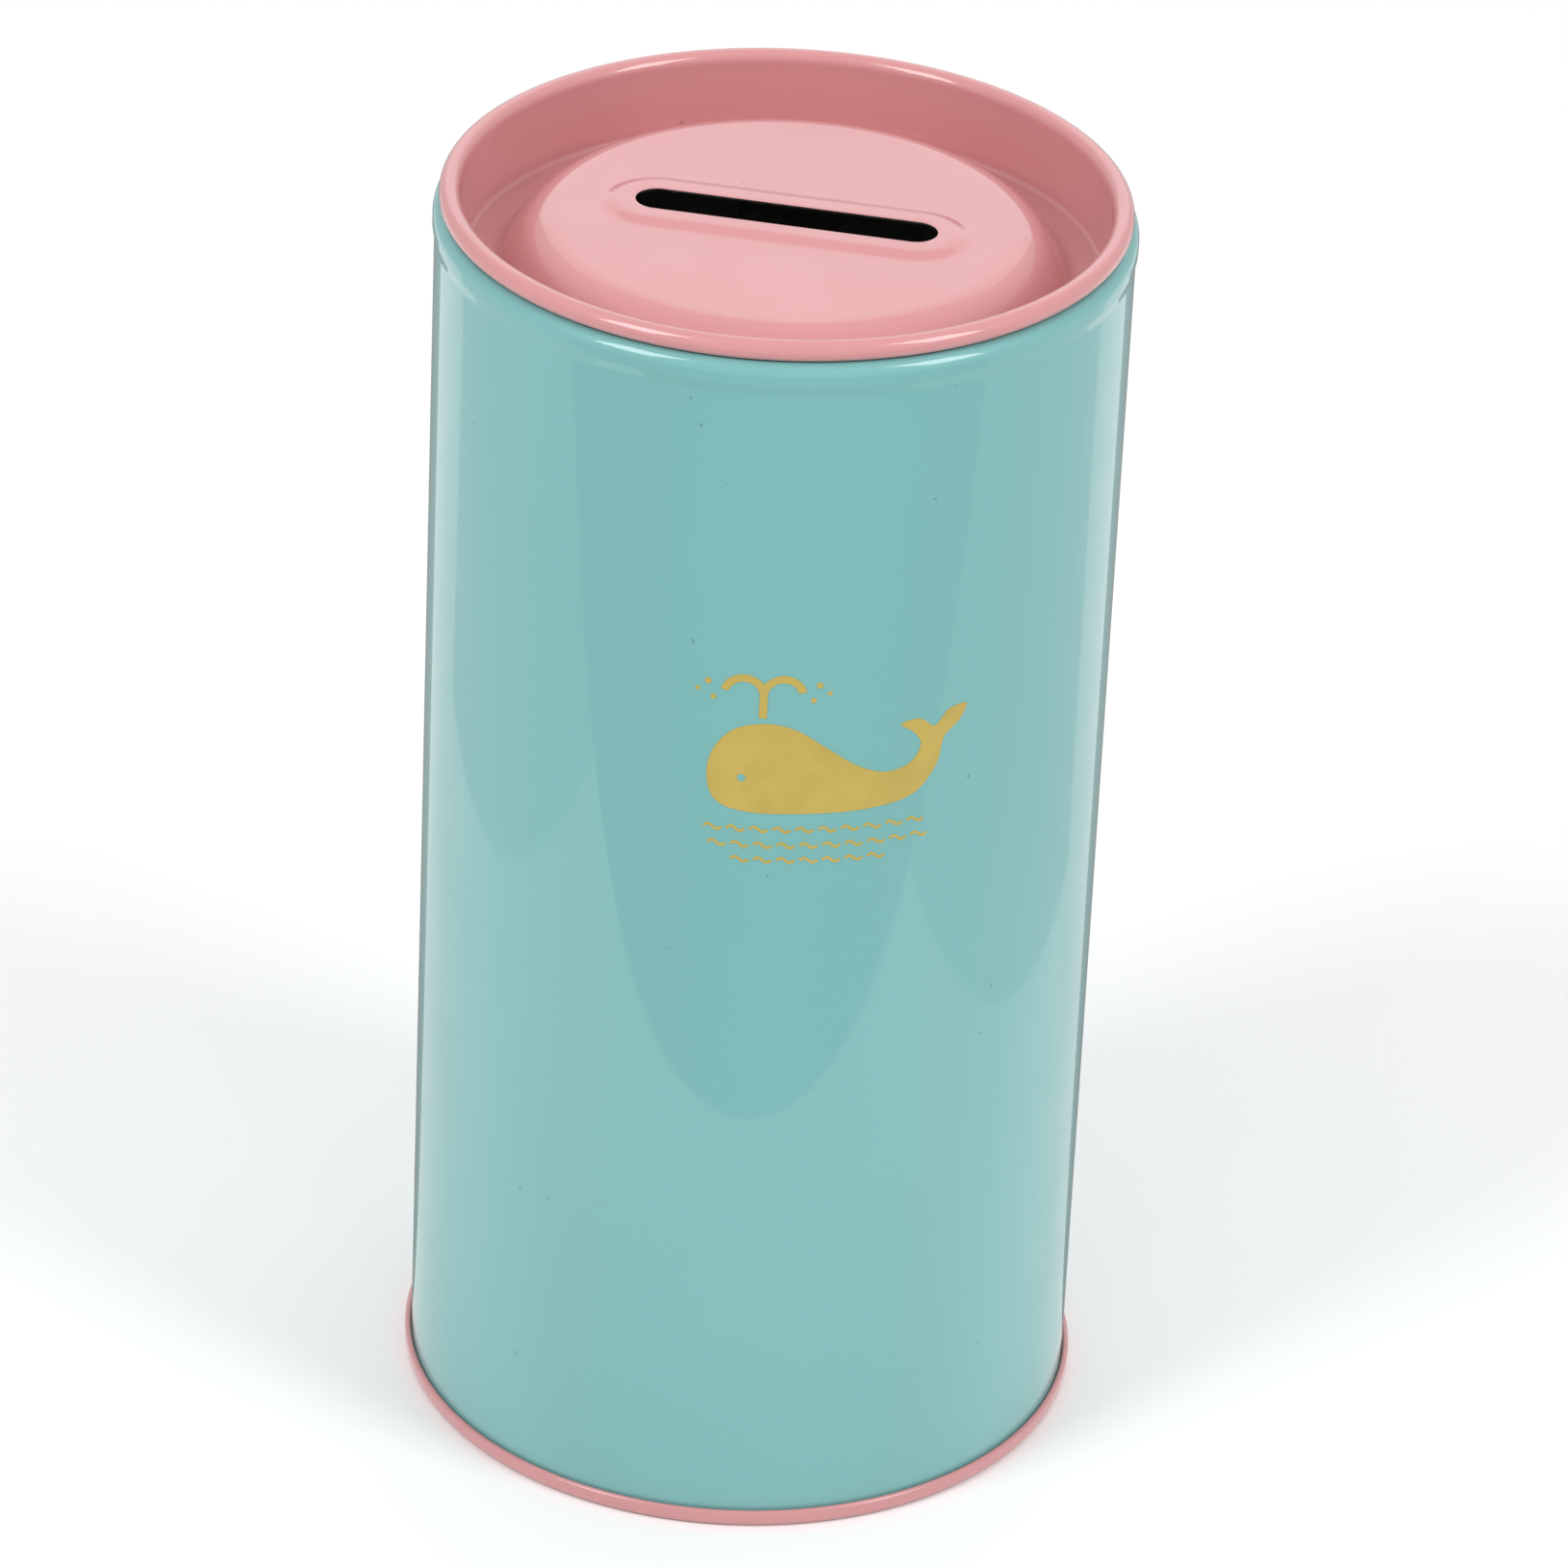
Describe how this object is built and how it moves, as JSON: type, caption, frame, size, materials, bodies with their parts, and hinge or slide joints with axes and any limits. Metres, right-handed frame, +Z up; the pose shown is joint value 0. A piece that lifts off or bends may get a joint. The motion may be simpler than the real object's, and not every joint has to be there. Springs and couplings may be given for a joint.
{
  "type": "tin money box",
  "caption": "Tall round tin money box with a folded side seam, a seamed-on base and a recessed plug lid with a coin slot that lifts off.",
  "frame": {"origin": "centre of the circle that the base seam stands on", "axes": "+Z up along the can's axis, X along the coin slot"},
  "size_m": [0.0764, 0.0764, 0.1464],
  "materials": {
    "body_lacquer": "gloss turquoise lacquer on tinplate, bare tin inside",
    "end_lacquer": "gloss pale pink lacquer on tinplate, bare tin inside",
    "gold_ink": "flat gold printing ink"
  },
  "bodies": {
    "can": {"body_shell": "body_lacquer", "base_end": "end_lacquer", "printed_motif": "gold_ink"},
    "lid": {"lid": "end_lacquer"}
  },
  "joints": [
    {"name": "lid_lift", "type": "slide", "parent": "can", "child": "lid", "axis": [0, 0, 1], "range_m": [0, 0.06]}
  ]
}
